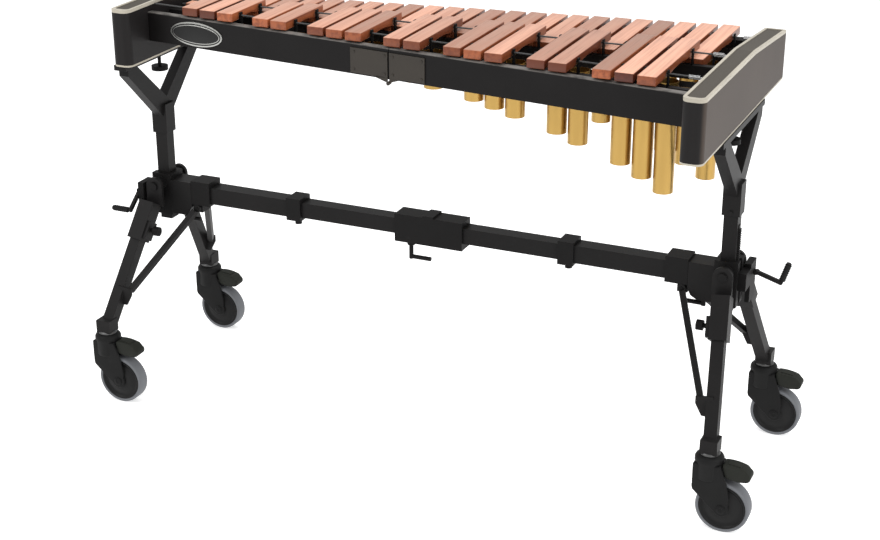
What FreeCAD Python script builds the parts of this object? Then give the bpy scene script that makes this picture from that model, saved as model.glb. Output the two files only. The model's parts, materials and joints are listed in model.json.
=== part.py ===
"""Concert xylophone on a folding stand: one STEP file for each sub-part, in millimetres.

X runs along the instrument with the low notes at +X, the sharps' side is -Y, Z is up and the
floor is z = 0. Sizes are measured from the middle of the stand. The finished set is moved so
that the middle of its bounding box stands over the origin.
"""
import os

import FreeCAD
import Part

V = FreeCAD.Vector

# ---- overall ----
INNER_HALF = 644.0           # end boards' inner faces
BOARD_THICK = 46.0
BOARD_LOW_Z = 797.0
BOARD_TOP_Z = 925.0
TRIM = 6.0                   # width of the pale trim around a board's top
TRIM_FRONT = 12.0
TRIM_DEEP = 7.0
PANEL_DROP = 1.5
FOOT_TRIM = 4.0
SPLIT_X = -20.0              # where the rails part for folding
SPLIT_GAP = 1.0
RAIL_THICK = 18.0

# ---- bars ----
LOW_BAR_X = 570.0
BAR_PITCH = 46.8
NATURALS = 26
SHARP_STEPS = (0.5, 1.5, 2.5, 4.5, 5.5, 7.5, 8.5, 9.5, 11.5, 12.5,
               14.5, 15.5, 16.5, 18.5, 19.5, 21.5, 22.5, 23.5)
BAR_WIDE = 38.0
BAR_THICK = 19.0
BAR_CHAMFER = 2.0
ARCH = 4.0
NATURAL_Z = 883.0
SHARP_Z = 908.0
NODE_AT = 0.224              # where a bar does not move, as a share of its length
CORD_R = 1.75
CORD_HOLE_R = 2.6
NATURAL_FRONT = (35.0, 28.0)   # at the low and the high end of the row
NATURAL_REAR = (333.0, 158.0)
SHARP_FRONT = (-212.0, -98.0)
SHARP_REAR = (93.0, 37.0)
FRONT_RAIL = (-226.7, -90.1)   # rail faces at the low and the high board
REAR_RAIL = (326.0, 151.5)

# ---- resonators ----
TUBE_R = 21.0
TUBE_WALL = 1.2
SOUND = 344000.0             # speed of sound, mm/s
LOW_F = 349.23               # lowest note, Hz
NATURAL_TUBE_Z = 855.0
SHARP_TUBE_Z = 878.0
NATURAL_STEPS = (0, 2, 4, 6, 7, 9, 11)

# ---- stand ----
POST_X = 680.0
POST = 30.0
POST_LOW_Z = 385.0
POST_TOP_Z = 660.0
POST_WALL = 2.0
GUIDE_GAP = 0.1
TUBE_LOW_Z = 440.0
STRETCH = 40.0
MID = 36.0
PIVOT = (681.5, 478.0)       # leg pivot, X and Z
PIVOT_R = 6.0
RUN = 0.05                   # radial running clearance
LEG_TOP = (683.0, 50.0, 470.0)
LEG_FOOT = (722.0, 228.0, 175.0)
SLEEVE = 38.0
LEG = 27.0
BRACE_TOP = (588.0, 21.5, 425.0)
BRACE_FOOT = (683.0, 180.0, 260.0)
BRACE = 13.0
TAB_Y = 185.5
WHEEL_R = 56.0
WHEEL_WIDE = 32.0
TRAIL = 35.0
AXLE_R = 5.0
STEM_R = 6.0

# ---- height gear and cranks ----
MODULE = 1.5
TEETH = 12
GEAR_Z = 457.0
RACK_LOW_Z = 390.0
RACK_TOP_Z = 575.0
CRANK_Y = 50.0
CRANK_PIN_X = 728.0
CRANK_LONG = 54.0
GRIP_LONG = 40.0
GRIP_R = 7.0
RIGHT_ARM = V(0.956, 0.0, -0.292)
LEFT_ARM = V(0.0, -0.78, -0.626)

PITCH_R = MODULE * TEETH / 2
PINION_X = POST_X + POST / 2 + 2.5 * MODULE + PITCH_R
TAN_20 = 0.364
X_AXIS = V(1, 0, 0)
Y_AXIS = V(0, 1, 0)
Z_AXIS = V(0, 0, 1)
MIDDLE = V(0, 0, 0)
made = {}


# ---------------------------------------------------------------- helpers
def box(x0, x1, y0, y1, z0, z1):
    return Part.makeBox(x1 - x0, y1 - y0, z1 - z0, V(x0, y0, z0))


def rod(start, end, radius):
    a = V(*start)
    b = V(*end)
    return Part.makeCylinder(radius, (b - a).Length, a, b - a)


def prism(points, push):
    corners = [V(*p) for p in points]
    return Part.Face(Part.makePolygon(corners + corners[:1])).extrude(V(*push))


def on_line(start, end, distance):
    a = V(*start)
    along = (V(*end) - a).normalize()
    return a + along * distance


def beam(a, b, wide, deep):
    """A square bar from a to b with two faces kept across X as nearly as they can be."""
    run = b - a
    along = V(run).normalize()
    side = (X_AXIS - along * along.x).normalize()
    back = along.cross(side)
    corner = a - side * (wide / 2) - back * (deep / 2)
    ring = [corner, corner + side * wide, corner + side * wide + back * deep, corner + back * deep, corner]
    return Part.Face(Part.makePolygon(ring)).extrude(run)


def link(a, b, pin, wide, thick):
    """A flat bar with round ends, lying across the direction of its pin."""
    run = b - a
    across = pin.cross(V(run).normalize()) * (wide / 2)
    lift = pin * (thick / 2)
    ring = [a - across - lift, a + across - lift, b + across - lift, b - across - lift]
    bar = Part.Face(Part.makePolygon(ring + ring[:1])).extrude(pin * thick)
    ends = [Part.makeCylinder(wide / 2, thick, p - lift, pin) for p in (a, b)]
    return bar.fuse(ends).removeSplitter()


def mirrored(shape):
    return shape.mirror(MIDDLE, Y_AXIS)


def turned(shape):
    other = shape.copy()
    other.rotate(MIDDLE, Z_AXIS, 180)
    return other


def moved(shape, x, y):
    other = shape.copy()
    other.translate(V(x, y, 0))
    return other


def at(ends, x, low=INNER_HALF, high=-INNER_HALF):
    """Y on a straight line known at the low end and at the high end."""
    return ends[1] + (ends[0] - ends[1]) * (x - high) / (low - high)


def keep(name, shapes):
    made[name] = Part.makeCompound(shapes)


# ---------------------------------------------------------------- bars
def natural_x(i):
    return LOW_BAR_X - BAR_PITCH * i


def natural_span(x):
    high = natural_x(NATURALS - 1)
    return at(NATURAL_FRONT, x, LOW_BAR_X, high), at(NATURAL_REAR, x, LOW_BAR_X, high)


def sharp_span(x):
    low = natural_x(SHARP_STEPS[0])
    high = natural_x(SHARP_STEPS[-1])
    return at(SHARP_FRONT, x, low, high), at(SHARP_REAR, x, low, high)


def node_y(span, x, rear):
    front_y, rear_y = span(x)
    share = 1 - NODE_AT if rear else NODE_AT
    return front_y + (rear_y - front_y) * share


def cord_line(span, rear, z, radius):
    x = INNER_HALF
    return rod((x, node_y(span, x, rear), z), (-x, node_y(span, -x, rear), z), radius)


def bar(x, span, z):
    front_y, rear_y = span(x)
    left = x - BAR_WIDE / 2
    top = z + BAR_THICK
    start = node_y(span, x, False) + TUBE_R / 2
    end = node_y(span, x, True) - TUBE_R / 2
    corners = [V(left, start, z), V(left, front_y, z), V(left, front_y, top - BAR_CHAMFER),
               V(left, front_y + BAR_CHAMFER, top), V(left, rear_y - BAR_CHAMFER, top),
               V(left, rear_y, top - BAR_CHAMFER), V(left, rear_y, z), V(left, end, z)]
    edges = [Part.makeLine(p, q) for p, q in zip(corners, corners[1:])]
    arch = Part.Arc(corners[-1], V(left, (start + end) / 2, z + ARCH), corners[0])
    edges.append(arch.toShape())
    return Part.Face(Part.Wire(edges)).extrude(V(BAR_WIDE, 0, 0))


def bar_row(places, span, z):
    holes = [cord_line(span, rear, z + BAR_THICK / 2, CORD_HOLE_R) for rear in (False, True)]
    return [bar(x, span, z).cut(holes) for x in places]


def natural_bars():
    places = [natural_x(i) for i in range(NATURALS)]
    keep("natural_bars", bar_row(places, natural_span, NATURAL_Z))


def sharp_bars():
    places = [natural_x(i) for i in SHARP_STEPS]
    keep("sharp_bars", bar_row(places, sharp_span, SHARP_Z))


def strip(line, y_add, thick, z0, z1):
    """A slanted strip along the instrument, parted at the fold; line gives Y for an X."""
    ends = ((-INNER_HALF, SPLIT_X - SPLIT_GAP / 2), (SPLIT_X + SPLIT_GAP / 2, INNER_HALF))
    out = []
    for x0, x1 in ends:
        y0 = line(x0) + y_add
        y1 = line(x1) + y_add
        ring = [(x0, y0, z0), (x1, y1, z0), (x1, y1 + thick, z0), (x0, y0 + thick, z0)]
        out.append(prism(ring, (0, 0, z1 - z0)))
    return out


def bar_rails():
    wide = 16.0
    high = 26.0
    gap = 16.0
    out = []
    for span, z in ((natural_span, NATURAL_Z), (sharp_span, SHARP_Z)):
        for rear in (False, True):
            def line(x, span=span, rear=rear):
                return node_y(span, x, rear)
            out += strip(line, -wide / 2, wide, z - gap - high, z - gap)
    keep("bar_rails", out)


def bar_posts():
    thick = 3.0
    half = 5.0
    gap = 16.0
    out = []
    steps = [i - 0.5 for i in range(NATURALS + 1)]
    sharp_sides = sorted({s + d for s in SHARP_STEPS for d in (-0.5, 0.5)})
    for span, z, places in ((natural_span, NATURAL_Z, steps), (sharp_span, SHARP_Z, sharp_sides)):
        for rear in (False, True):
            hole = cord_line(span, rear, z + BAR_THICK / 2, CORD_HOLE_R)
            for step in places:
                x = natural_x(step)
                y = node_y(span, x, rear)
                post = box(x - thick / 2, x + thick / 2, y - half, y + half, z - gap, z + BAR_THICK - half / 2)
                out.append(post.cut(hole))
    keep("bar_posts", out)


SPRING_LONG = 24.0
SPRING_R = 4.5
HOOK_LONG = 8.0


def bar_cords():
    out = []
    for span, z in ((natural_span, NATURAL_Z), (sharp_span, SHARP_Z)):
        for rear in (False, True):
            trim = box(INNER_HALF - SPRING_LONG - HOOK_LONG, 2 * INNER_HALF, -INNER_HALF, INNER_HALF, 0, 2000)
            out.append(cord_line(span, rear, z + BAR_THICK / 2, CORD_R).cut(trim))
    keep("bar_cords", out)


def cord_springs():
    out = []
    for span, z in ((natural_span, NATURAL_Z), (sharp_span, SHARP_Z)):
        for rear in (False, True):
            x = INNER_HALF
            y = node_y(span, x, rear)
            mid_z = z + BAR_THICK / 2
            spring = rod((x - HOOK_LONG - SPRING_LONG, y, mid_z), (x - HOOK_LONG, y, mid_z), SPRING_R)
            hook = rod((x - HOOK_LONG, y, mid_z), (x, y, mid_z), CORD_R)
            out.append(spring.fuse(hook))
    keep("cord_springs", out)


# ---------------------------------------------------------------- resonators
def tube(x, span, top, semitone, stretch):
    front_y, rear_y = span(x)
    y = (front_y + rear_y) / 2
    frequency = LOW_F * 2 ** (semitone / 12)
    low = top - stretch * SOUND / (4 * frequency)
    outer = rod((x, y, low), (x, y, top), TUBE_R)
    inner = rod((x, y, low + TUBE_WALL), (x, y, top + TUBE_WALL), TUBE_R - TUBE_WALL)
    return outer.cut(inner)


def semitone_of(step):
    octave, note = divmod(int(step), len(NATURAL_STEPS))
    sharpen = 1 if step != int(step) else 0
    return octave * 12 + NATURAL_STEPS[note] + sharpen


def natural_resonators():
    stretch = 1.03
    out = [tube(natural_x(i), natural_span, NATURAL_TUBE_Z, semitone_of(i), stretch) for i in range(NATURALS)]
    keep("natural_resonators", out)


def sharp_resonators():
    out = [tube(natural_x(i), sharp_span, SHARP_TUBE_Z, semitone_of(i), 1.0) for i in SHARP_STEPS]
    keep("sharp_resonators", out)


def resonator_rails():
    thick = 3.0
    slack = 0.4
    drop = 4.0
    high = 12.0
    out = []
    for span, top in ((natural_span, NATURAL_TUBE_Z), (sharp_span, SHARP_TUBE_Z)):
        def line(x, span=span):
            front_y, rear_y = span(x)
            return (front_y + rear_y) / 2
        for y_add in (TUBE_R + slack, -TUBE_R - slack - thick):
            out += strip(line, y_add, thick, top - drop - high, top - drop)
    keep("resonator_rails", out)


# ---------------------------------------------------------------- end boards and rails
def board_block(y0, y1, kink_y, rear_z, drop, inset, inset_front):
    x0 = INNER_HALF + inset
    x1 = INNER_HALF + BOARD_THICK - inset
    top = BOARD_TOP_Z - drop
    profile = [(x0, y0, BOARD_LOW_Z), (x0, y0, top), (x0, kink_y, top),
               (x0, y1, rear_z - drop), (x0, y1, BOARD_LOW_Z)]
    block = prism(profile, (x1 - x0, 0, 0))
    radius = 16.0
    front = y0 + inset_front
    rear = y1 - inset
    plan = box(x0, x1, front, rear, BOARD_LOW_Z, BOARD_TOP_Z)
    uprights = [e for e in plan.Edges if abs(e.tangentAt(0).z) > 0.5]
    front_edges = [e for e in uprights if e.CenterOfMass.y < (front + rear) / 2]
    rear_edges = [e for e in uprights if e.CenterOfMass.y > (front + rear) / 2]
    plan = plan.makeFillet(radius - inset, front_edges)
    return block.common(plan) if not rear_edges else block.common(plan).removeSplitter()


def board_set(y0, y1, kink_y, rear_z):
    whole = board_block(y0, y1, kink_y, rear_z, 0.0, 0.0, 0.0)
    inner = board_block(y0, y1, kink_y, rear_z, PANEL_DROP, TRIM, TRIM_FRONT)
    lower = board_block(y0, y1, kink_y, rear_z, TRIM_DEEP, 0.0, 0.0)
    top_trim = whole.cut([board_block(y0, y1, kink_y, rear_z, 0.0, TRIM, TRIM_FRONT), lower])
    foot = box(0, 2 * INNER_HALF, y0, y1, BOARD_LOW_Z, BOARD_LOW_Z + FOOT_TRIM)
    core = board_block(y0, y1, kink_y, rear_z, 0.0, PANEL_DROP, PANEL_DROP)
    foot_trim = whole.common(foot).cut(core)
    board = lower.fuse(inner).cut(foot_trim).removeSplitter()
    return board, top_trim, foot_trim


def end_boards():
    right, top_r, foot_r = board_set(-316.0, 328.0, 60.0, 905.0)
    left, top_l, foot_l = board_set(-172.0, 172.0, 50.0, 912.0)
    flip = [s.mirror(MIDDLE, X_AXIS) for s in (left, top_l, foot_l)]
    keep("end_board_right", [right])
    keep("end_board_left", [flip[0]])
    keep("board_trims", [top_r, foot_r, flip[1], flip[2]])


def front_face(x):
    return at(FRONT_RAIL, x)


def rear_face(x):
    return at(REAR_RAIL, x)


FRONT_LOW_Z = 840.0
FRONT_TOP_Z = 905.0


def front_rails():
    keep("front_rails", strip(front_face, 0.0, RAIL_THICK, FRONT_LOW_Z, FRONT_TOP_Z))


def rear_rails():
    keep("rear_rails", strip(rear_face, -RAIL_THICK, RAIL_THICK, 812.0, 878.0))


def hinge_plates():
    thick = 2.5
    z0 = 843.0
    z1 = 897.0
    pin_z = 833.0
    pin_x = -20.0
    screw = 3.0
    out = []
    for x0, x1, ear in ((-112.0, -22.0, -52.0), (-18.0, 66.0, 12.0)):
        plate = prism([(x0, front_face(x0), z0), (x1, front_face(x1), z0), (x1, front_face(x1) - thick, z0),
                       (x0, front_face(x0) - thick, z0)], (0, 0, z1 - z0))
        inner_x = x1 if ear < pin_x else x0
        y = front_face(pin_x)
        lug = prism([(ear, y - thick, z0), (inner_x, y - thick, z0), (inner_x, y - thick, pin_z)],
                    (0, thick, 0))
        shape = plate.fuse(lug)
        for x in (x0 + 8.0, x1 - 8.0):
            for z in (z0 + 8.0, z1 - 8.0):
                shape = shape.fuse(rod((x, front_face(x), z), (x, front_face(x) - thick - 1.5, z), screw))
        out.append(shape)
    y = front_face(pin_x)
    out.append(rod((pin_x, y + 2 * thick, pin_z - 1.0), (pin_x, y - 2 * thick, pin_z - 1.0), 4.0))
    rails = strip(front_face, 0.0, RAIL_THICK, FRONT_LOW_Z, FRONT_TOP_Z)
    keep("hinge_plates", [out[0].fuse([out[1], out[2]]).cut(rails)])


# ---------------------------------------------------------------- lift posts and forks
def tooth_line(z_mid, face_x):
    root = 1.25 * MODULE
    half_root = MODULE * 3.1416 / 4 + root * TAN_20
    half_tip = MODULE * 3.1416 / 4 - MODULE * TAN_20
    pitch_x = face_x + 2.5 * MODULE
    return [(pitch_x - root, z_mid - half_root), (pitch_x + MODULE, z_mid - half_tip),
            (pitch_x + MODULE, z_mid + half_tip), (pitch_x - root, z_mid + half_root)]


def rack(face_x):
    half = 5.0
    step = MODULE * 3.1416
    first = GEAR_Z - step * int((GEAR_Z - RACK_LOW_Z - step) / step)
    count = int((RACK_TOP_Z - first - step / 2) / step)
    ring = [(face_x, RACK_LOW_Z)]
    for n in range(count):
        ring += tooth_line(first + n * step, face_x)
    root_x = face_x + 1.25 * MODULE
    ring.insert(1, (root_x, RACK_LOW_Z))
    ring += [(root_x, RACK_TOP_Z), (face_x, RACK_TOP_Z)]
    return prism([(x, -half, z) for x, z in ring], (0, 2 * half, 0))


def lift_posts():
    half = POST / 2
    inner = half - POST_WALL
    outer = box(POST_X - half, POST_X + half, -half, half, POST_LOW_Z, POST_TOP_Z)
    hollow = box(POST_X - inner, POST_X + inner, -inner, inner, POST_LOW_Z, POST_TOP_Z)
    post = outer.cut(hollow).fuse(rack(POST_X + half)).removeSplitter()
    keep("lift_posts", [post, turned(post)])


FORK_SLEEVE = 38.0
FORK_LOW_Z = 598.0
PLATE_Z = 785.0


def lift_forks():
    half = FORK_SLEEVE / 2
    bore = POST / 2 + GUIDE_GAP
    arm_x0 = POST_X - 12.0
    arm_x1 = POST_X + 12.0
    outer = [(-half, 640.0), (half, 640.0), (40.0, 662.0), (147.0, 768.0), (147.0, PLATE_Z),
             (-147.0, PLATE_Z), (-147.0, 768.0), (-40.0, 662.0)]
    inner = [(0.0, 684.0), (112.0, PLATE_Z), (-112.0, PLATE_Z)]
    body = prism([(arm_x0, y, z) for y, z in outer], (arm_x1 - arm_x0, 0, 0))
    hole = prism([(arm_x0, y, z) for y, z in inner], (arm_x1 - arm_x0, 0, 0))
    sleeve = box(POST_X - half, POST_X + half, -half, half, FORK_LOW_Z, 668.0)
    plate = box(POST_X - half, POST_X + half - 7.0, -165.0, 165.0, PLATE_Z, BOARD_LOW_Z)
    screw = rod((POST_X, -half - 3.0, 606.0), (POST_X, -half, 606.0), 4.0)
    shape = body.cut(hole).fuse([sleeve, plate, screw])
    shape = shape.cut(box(POST_X - bore, POST_X + bore, -bore, bore, FORK_LOW_Z, POST_TOP_Z + GUIDE_GAP))
    shape = shape.removeSplitter()
    keep("lift_forks", [shape, turned(shape)])


KNOB_R = 19.0


def board_knobs():
    x = 670.0
    y = -17.0
    disc = rod((x, y, 752.0), (x, y, 762.0), KNOB_R)
    stem = rod((x, y, 762.0), (x, y, PLATE_Z - GUIDE_GAP), 4.0)
    knob = disc.fuse(stem)
    keep("board_knob_right", [knob])
    keep("board_knob_left", [moved(knob, -2 * x, 0)])


# ---------------------------------------------------------------- stretcher
END_IN_X = 330.0
BRACKET_X = (601.0, 655.0)


def stretcher_tubes():
    wall = 2.5
    out = []
    for x0, x1, size in ((END_IN_X, BRACKET_X[1], STRETCH), (2.0, END_IN_X, MID)):
        mid_z = TUBE_LOW_Z + STRETCH / 2
        half = size / 2
        inner = half - wall
        outer = box(x0, x1, -half, half, mid_z - half, mid_z + half)
        piece = outer.cut(box(x0, x1, -inner, inner, mid_z - inner, mid_z + inner))
        out += [piece, turned(piece)]
    keep("stretcher_tubes", out)


def clamp(x0, x1, half_y, z0, z1, size, extra):
    mid_z = TUBE_LOW_Z + STRETCH / 2
    half = size / 2 + extra
    body = box(x0, x1, -half_y, half_y, z0, z1)
    return body.cut(box(x0, x1, -half, half, mid_z - half, mid_z + half))


def centre_coupling():
    body = clamp(-74.0, 89.0, 24.0, 426.0, 491.0, MID, 0.0)
    ridge = box(-6.0, 20.0, -24.0, 24.0, 491.0, 495.0)
    socket = rod((-44.0, 0, 414.0), (-44.0, 0, 426.0), 9.0)
    shape = body.fuse([ridge, socket]).cut(rod((-44.0, 0, 413.0), (-44.0, 0, 424.0), 5.0 + RUN))
    keep("centre_coupling", [shape.removeSplitter()])


def stretcher_collars():
    half_long = 18.0
    low = TUBE_LOW_Z - 6.0
    top = TUBE_LOW_Z + STRETCH + 7.0
    outer = clamp(END_IN_X, END_IN_X + half_long, 25.0, low, top, STRETCH, 0.0)
    inner = clamp(END_IN_X - half_long, END_IN_X, 25.0, low, top, MID, 0.0)
    bolt = rod((END_IN_X, 0, low - 14.0), (END_IN_X, 0, low), 8.0)
    shape = outer.fuse([inner, bolt]).removeSplitter()
    keep("stretcher_collars", [shape, turned(shape)])


def end_brackets():
    low = 405.0
    top = 487.0
    half = 26.0
    profile = [(BRACKET_X[0], top), (BRACKET_X[1], top), (BRACKET_X[1], low), (BRACKET_X[0] + 22.0, low),
               (BRACKET_X[0] + 8.0, low + 8.0), (BRACKET_X[0], low + 22.0)]
    body = prism([(x, -half, z) for x, z in profile], (0, 2 * half, 0))
    hole = STRETCH / 2
    mid_z = TUBE_LOW_Z + hole
    body = body.cut(box(BRACKET_X[0], BRACKET_X[1], -hole, hole, mid_z - hole, mid_z + hole))
    body = body.cut(rod((631.0, 0, low - 1.0), (631.0, 0, low + 20.0), 5.0 + RUN))
    keep("end_brackets", [body, turned(body)])


def handle(x, stem_top, stem_low, arm_end):
    stem = rod((x, 0, stem_low), (x, 0, stem_top), 5.0)
    arm = rod((x, 0, stem_low + 5.0), (arm_end, 0, stem_low + 5.0), 5.0)
    return stem.fuse(arm).removeSplitter()


def handles():
    keep("centre_handle", [handle(-44.0, 423.0, 380.0, 4.0)])
    bracket = handle(631.0, 424.0, 384.0, 594.0)
    keep("bracket_handle_right", [bracket])
    keep("bracket_handle_left", [turned(bracket)])


# ---------------------------------------------------------------- hubs
HUB_X = (BRACKET_X[1], 705.0)
HUB_HALF = 26.0
HUB_Z = (400.0, 500.0)
PLATE_Y = (50.0, 58.0)


def hub():
    body = box(HUB_X[0], HUB_X[1], -HUB_HALF, HUB_HALF, HUB_Z[0], HUB_Z[1])
    bore = POST / 2 + GUIDE_GAP
    body = body.cut(box(POST_X - bore, POST_X + bore, -bore, bore, HUB_Z[0], HUB_Z[1]))
    body = body.cut(box(POST_X, HUB_X[1], -6.5, 6.5, HUB_Z[0], HUB_Z[1]))
    body = body.cut(rod((PINION_X, -16.0, GEAR_Z), (PINION_X, 16.0, GEAR_Z), 4.0 + RUN))
    x, z = PIVOT
    out = body
    for s in (1, -1):
        boss = rod((x, s * HUB_HALF, z), (x, s * (PLATE_Y[0] - 0.5), z), 15.0)
        pin = rod((x, s * HUB_HALF, z), (x, s * (PLATE_Y[1] + 1.0), z), PIVOT_R)
        head = rod((x, s * (PLATE_Y[1] + 0.5), z), (x, s * (PLATE_Y[1] + 5.0), z), 10.0)
        out = out.fuse([boss, pin, head])
    return out.removeSplitter()


def hubs():
    shape = hub()
    keep("hubs", [shape, turned(shape)])


def gearboxes():
    face = HUB_X[1]
    out_x = 722.0
    middle = box(face, out_x, -20.0, 20.0, 438.0, 476.0)
    side = box(face + 2.0, out_x, 20.0, 64.0, 446.0, 484.0)
    skirt = box(712.5, out_x, 20.0, 64.0, 398.0, 446.0)
    shape = middle.fuse([side, skirt])
    shape = shape.cut(rod((PINION_X, -6.5, GEAR_Z), (PINION_X, 6.5, GEAR_Z), PITCH_R + 1.6 * MODULE))
    shape = shape.cut(rod((PINION_X, -16.0, GEAR_Z), (PINION_X, 16.0, GEAR_Z), 4.0 + RUN))
    shape = shape.cut(rod((711.0, CRANK_Y, GEAR_Z), (out_x + 1.0, CRANK_Y, GEAR_Z), 5.0 + RUN))
    shape = shape.removeSplitter()
    keep("gearboxes", [shape, turned(shape)])


def pinion():
    root = 1.25 * MODULE
    core = rod((PINION_X, -5.0, GEAR_Z), (PINION_X, 5.0, GEAR_Z), PITCH_R - root)
    half_root = MODULE * 0.88
    half_tip = MODULE * 0.33
    low = PITCH_R - root - 0.6
    top = PITCH_R + 0.92 * MODULE
    ring = [(low, -half_root), (top, -half_tip), (top, half_tip), (low, half_root)]
    tooth = prism([(PINION_X + a, -5.0, GEAR_Z + b) for a, b in ring], (0, 10.0, 0))
    centre = V(PINION_X, 0, GEAR_Z)
    teeth = []
    for n in range(TEETH):
        one = tooth.copy()
        one.rotate(centre, Y_AXIS, (n + 0.5) * 360.0 / TEETH)
        teeth.append(one)
    shaft = rod((PINION_X, -15.5, GEAR_Z), (PINION_X, 15.5, GEAR_Z), 4.0)
    return core.fuse(teeth + [shaft]).removeSplitter()


def pinions():
    shape = pinion()
    keep("pinion_right", [shape])
    keep("pinion_left", [turned(shape)])


# ---------------------------------------------------------------- cranks
EYE_THICK = 8.0
EYE_WIDE = 9.0


def crank_parts(side, arm, pin):
    """Shaft, arm and grip; side is +1 at the low end, arm its direction, pin the fold axis."""
    root = V(side * CRANK_PIN_X, side * CRANK_Y, GEAR_Z)
    out = V(side, 0, 0)
    shaft = Part.makeCylinder(5.0, 12.5, root - out * 16.5, out)
    cheek = 2.5
    slack = 0.3
    shape = shaft
    for s in (1, -1):
        centre = root + pin * (s * (EYE_THICK / 2 + slack + cheek / 2))
        shape = shape.fuse(link(centre - out * 1.2, centre, pin, EYE_WIDE, cheek))
    base = Part.makeCylinder(6.5, 1.8, root - out * 6.0, out)
    hinge = Part.makeCylinder(2.0, EYE_THICK + 2 * (slack + cheek), root - pin * (EYE_THICK / 2 + slack + cheek), pin)
    shape = shape.fuse([base, hinge])
    elbow = root + arm * CRANK_LONG
    bar_shape = link(root, elbow, pin, EYE_WIDE - 1.0, EYE_THICK)
    bar_shape = bar_shape.cut(Part.makeCylinder(2.0 + RUN, 2 * EYE_THICK, root - pin * EYE_THICK, pin))
    up = arm.cross(pin)
    if up.dot(out) < 0 and side < 0 or side > 0 and up.z < 0:
        up = up * -1
    peg = Part.makeCylinder(3.0, GRIP_LONG + 7.0, elbow, up)
    cap = Part.makeCylinder(5.5, 2.0, elbow + up * (GRIP_LONG + 6.0), up)
    bar_shape = bar_shape.fuse([peg, cap]).removeSplitter()
    grip = Part.makeCylinder(GRIP_R, GRIP_LONG, elbow + up * 5.5, up)
    grip = grip.cut(Part.makeCylinder(3.0 + RUN, GRIP_LONG * 2, elbow, up))
    return shape.removeSplitter(), bar_shape, grip


def cranks():
    for name, side, arm in (("right", 1, RIGHT_ARM), ("left", -1, LEFT_ARM)):
        aim = V(arm).normalize()
        pin = Y_AXIS if side > 0 else aim.cross(X_AXIS).normalize()
        shaft, bar_shape, grip = crank_parts(side, aim, pin)
        keep("crank_shaft_" + name, [shaft])
        keep("crank_arm_" + name, [bar_shape])
        keep("crank_grip_" + name, [grip])


# ---------------------------------------------------------------- legs, braces
def leg_sleeve():
    start = on_line(LEG_TOP, LEG_FOOT, 34.0)
    end = on_line(LEG_TOP, LEG_FOOT, 127.0)
    shape = beam(start, end, SLEEVE, SLEEVE)
    x, z = PIVOT
    half = 21.0
    cap = rod((x, PLATE_Y[0], z), (x, PLATE_Y[1], z), half)
    plate = box(x - half, x + half, PLATE_Y[0], PLATE_Y[1], 430.0, z)
    lug_a = on_line(LEG_TOP, LEG_FOOT, 80.0)
    lug_b = on_line(LEG_TOP, LEG_FOOT, 124.0)
    lift = V(-SLEEVE / 2 - 2.0, 0, 0)
    boss = beam(lug_a + lift, lug_b + lift, 12.0, SLEEVE - 8.0)
    shape = shape.fuse([cap, plate, boss])
    bore_a = on_line(LEG_TOP, LEG_FOOT, 40.0)
    bore_b = on_line(LEG_TOP, LEG_FOOT, 140.0)
    shape = shape.cut(beam(bore_a, bore_b, LEG + 2 * GUIDE_GAP, LEG + 2 * GUIDE_GAP))
    shape = shape.cut(rod((x, 0, z), (x, 2 * PLATE_Y[1], z), PIVOT_R + RUN))
    return shape.cut(knob_stem(5.0 + RUN)).removeSplitter()


def knob_spot():
    return on_line(LEG_TOP, LEG_FOOT, 100.0)


def knob_stem(radius):
    spot = knob_spot()
    inner = SLEEVE / 2 - 3.0
    return rod((spot.x - inner, spot.y, spot.z), (spot.x - 36.0, spot.y, spot.z), radius)


def leg_knob():
    spot = knob_spot()
    head = rod((spot.x - 35.0, spot.y, spot.z), (spot.x - 49.0, spot.y, spot.z), 11.0)
    return knob_stem(5.0).fuse(head).removeSplitter()


def leg_tube():
    start = on_line(LEG_TOP, LEG_FOOT, 46.0)
    end = on_line(LEG_TOP, LEG_FOOT, 334.0)
    shape = beam(start, end, LEG, LEG)
    x, y, z = LEG_FOOT
    foot = box(x - 18.0, x + 18.0, y - 18.0, y + 18.0, z - 4.0, z + 26.0)
    px, py, pz = BRACE_FOOT
    ring = [(px - 8.0, pz + 8.0), (px - 8.0, pz - 8.0), (px + 6.0, pz - 34.0), (px + 32.0, pz - 34.0),
            (px + 28.0, pz + 12.0)]
    tab = prism([(a, TAB_Y, b) for a, b in ring], (0, 4.5, 0))
    shape = shape.fuse([foot, tab])
    return shape.cut(rod((x, y, z - 10.0), (x, y, z + 20.0), STEM_R + RUN)).removeSplitter()


def legs():
    for name, turn in (("right", False), ("left", True)):
        sleeves = [leg_sleeve(), mirrored(leg_sleeve())]
        tubes = [leg_tube(), mirrored(leg_tube())]
        if turn:
            sleeves = [turned(s) for s in sleeves]
            tubes = [turned(s) for s in tubes]
        keep("leg_sleeves_" + name, sleeves)
        keep("leg_tubes_" + name, tubes)
    knob = leg_knob()
    keep("leg_knob_rear_right", [knob])
    keep("leg_knob_front_right", [mirrored(knob)])
    keep("leg_knob_front_left", [turned(knob)])
    keep("leg_knob_rear_left", [turned(mirrored(knob))])


def brace_collars():
    x0 = 551.0
    x1 = 600.5
    body = clamp(x0, x1, HUB_HALF, 434.5, 492.0, STRETCH, GUIDE_GAP)
    bx, _, bz = BRACE_TOP
    lug = box(bx - 11.0, bx + 11.0, -17.0, 17.0, bz - 11.0, 436.0)
    pin = rod((bx, -27.0, bz), (bx, 27.0, bz), 4.0)
    shape = body.fuse([lug, pin]).removeSplitter()
    keep("brace_collar_right", [shape])
    keep("brace_collar_left", [turned(shape)])


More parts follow.
